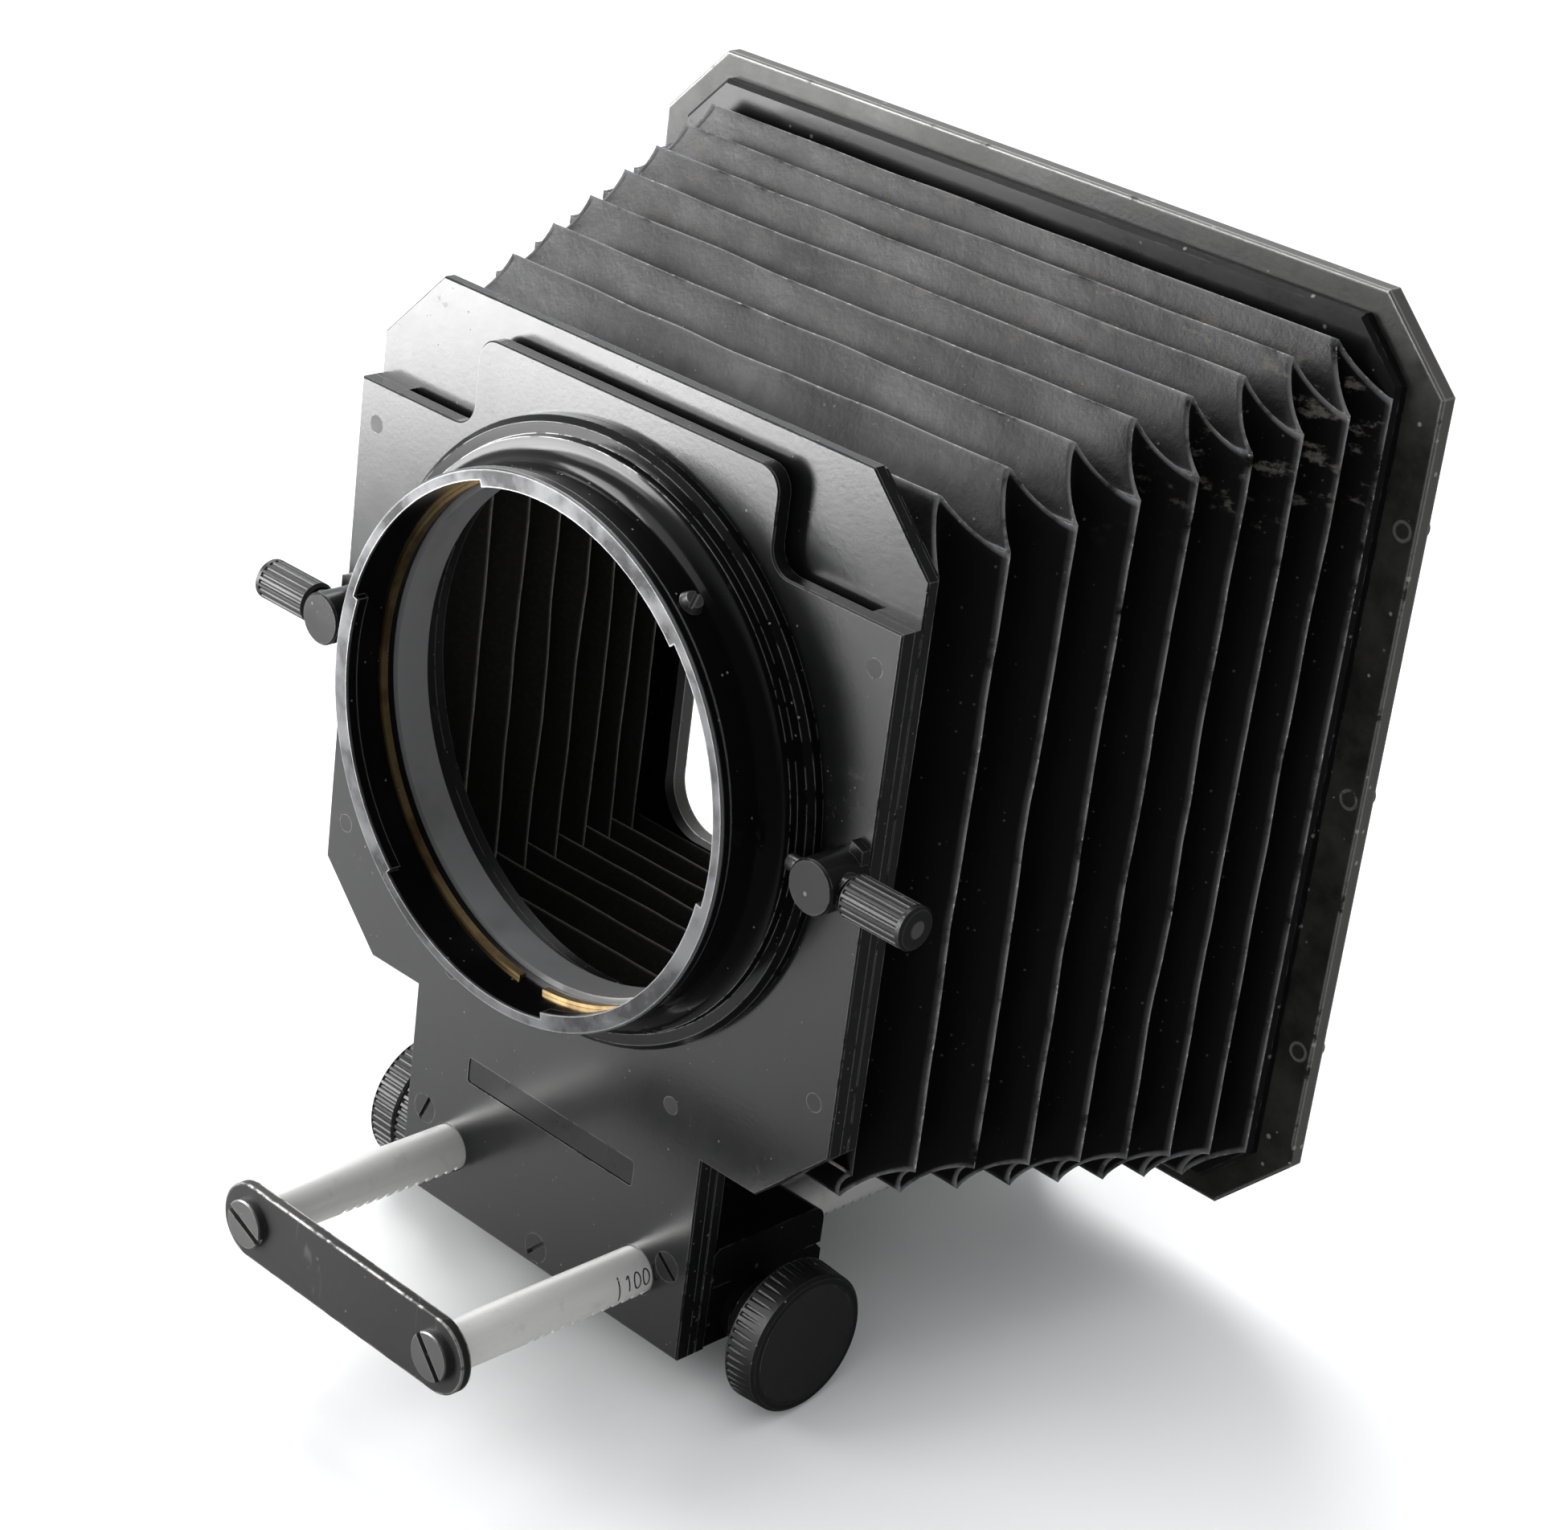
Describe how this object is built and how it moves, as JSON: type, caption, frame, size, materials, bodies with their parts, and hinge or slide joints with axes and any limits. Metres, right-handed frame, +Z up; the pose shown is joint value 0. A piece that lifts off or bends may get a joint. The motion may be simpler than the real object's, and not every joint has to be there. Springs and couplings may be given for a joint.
{
  "type": "bellows lens shade",
  "caption": "Square bellows lens shade on two racked rods, with a bayonet lens ring, sprung side catches, a gelatine filter slot and an octagonal scene frame.",
  "frame": {"origin": "on the axis of the lens ring, at the front face of the cover plate, which is 0.8 mm behind the middle of the ring's pilot bore", "axes": "+Y along the optical axis towards the scene, +X to the right seen from the lens side, +Z up, away from the rods and the tongue"},
  "size_m": [0.125, 0.1014, 0.1376],
  "materials": {
    "plate_black": "satin black anodised sheet, worn bright at the edges",
    "ring_black": "glossy black anodised turning, silver where it rubs",
    "ring_grey": "fine turned grey",
    "spring_brass": "yellow spring bronze",
    "screw_dark": "blackened steel, satin",
    "nameplate_black": "blank black plate",
    "catch_black": "black enamel",
    "catch_steel": "steel",
    "knob_black": "black moulded knob with worn ribs",
    "knob_disc_black": "fine-grained black disc",
    "housing_black": "black crackle-free enamel on a die casting",
    "bush_brass": "turned brass",
    "shaft_steel": "ground steel",
    "rod_aluminium": "satin natural aluminium",
    "end_plate_black": "black paint, chipped at the edge",
    "frame_black": "worn black paint with bare edges",
    "peg_black": "blackened steel",
    "bellows_black": "black leatherette with bright worn folds"
  },
  "bodies": {
    "standard": {"base_cover": "housing_black", "base_screws": "screw_dark", "bellows": "bellows_black", "bellows_front_frame": "plate_black", "catch_bush_left": "catch_black", "catch_bush_right": "catch_black", "catch_post_left": "catch_black", "catch_post_right": "catch_black", "catch_spring_left": "catch_steel", "catch_spring_right": "catch_steel", "cover_plate": "plate_black", "drive_base": "housing_black", "drive_housing": "housing_black", "lock_washer": "shaft_steel", "nameplate": "nameplate_black", "plate_rivets": "screw_dark", "rod_bushes_front": "bush_brass", "rod_bushes_rear": "bush_brass", "shaft_bushes": "bush_brass", "slot_plate": "plate_black", "slot_spacer": "plate_black", "tongue_screws": "screw_dark"},
    "carriage": {"rod_left": "rod_aluminium", "rod_right": "rod_aluminium", "end_plate": "end_plate_black", "end_plate_screws": "screw_dark", "rod_anchor": "end_plate_black", "rod_anchor_screws": "screw_dark", "flange_screws": "screw_dark", "scene_frame": "frame_black", "bellows_retainer": "frame_black", "mask_pegs": "peg_black"},
    "drive_shaft": {"pinion_shaft": "shaft_steel", "pinions": "bush_brass", "focus_knob": "knob_black", "focus_knob_grub": "screw_dark", "knob_disc": "knob_disc_black", "left_knob": "knob_black", "left_knob_screw": "screw_dark"},
    "locking_ring": {"lock_ring": "knob_black"},
    "catch_left": {"catch_pin_left": "catch_steel", "catch_knob_left": "knob_black"},
    "catch_right": {"catch_pin_right": "catch_steel", "catch_knob_right": "knob_black"},
    "lens_ring": {"mounting_ring": "ring_black", "ring_liner": "ring_grey", "ring_spring": "spring_brass", "ring_stop_screw": "screw_dark"}
  },
  "joints": [
    {"name": "extension", "type": "slide", "parent": "standard", "child": "carriage", "axis": [0, 1, 0], "range_m": [-0.03, 0.0285], "deforming": ["bellows"]},
    {"name": "focus_turn", "type": "hinge", "parent": "standard", "child": "drive_shaft", "pos_m": [0, 0.0115, -0.06803], "axis": [1, 0, 0], "range_deg": [-546, 574]},
    {"name": "lock_turn", "type": "hinge", "parent": "standard", "child": "locking_ring", "pos_m": [0, 0.0115, -0.06803], "axis": [1, 0, 0], "range_deg": [0, 60]},
    {"name": "catch_left_pull", "type": "slide", "parent": "standard", "child": "catch_left", "axis": [-1, 0, 0], "range_m": [0, 0.0019], "stiffness_N_per_m": 400, "springref_m": -0.001, "deforming": ["catch_spring_left"]},
    {"name": "catch_right_pull", "type": "slide", "parent": "standard", "child": "catch_right", "axis": [1, 0, 0], "range_m": [0, 0.0019], "stiffness_N_per_m": 400, "springref_m": -0.001, "deforming": ["catch_spring_right"]},
    {"name": "ring_turn", "type": "hinge", "parent": "standard", "child": "lens_ring", "pos_m": [0, 0, 0], "axis": [0, 1, 0], "continuous": true}
  ],
  "couplings": [
    {"joint": "focus_turn", "follows": "extension", "rad_per_m": -333.33}
  ]
}
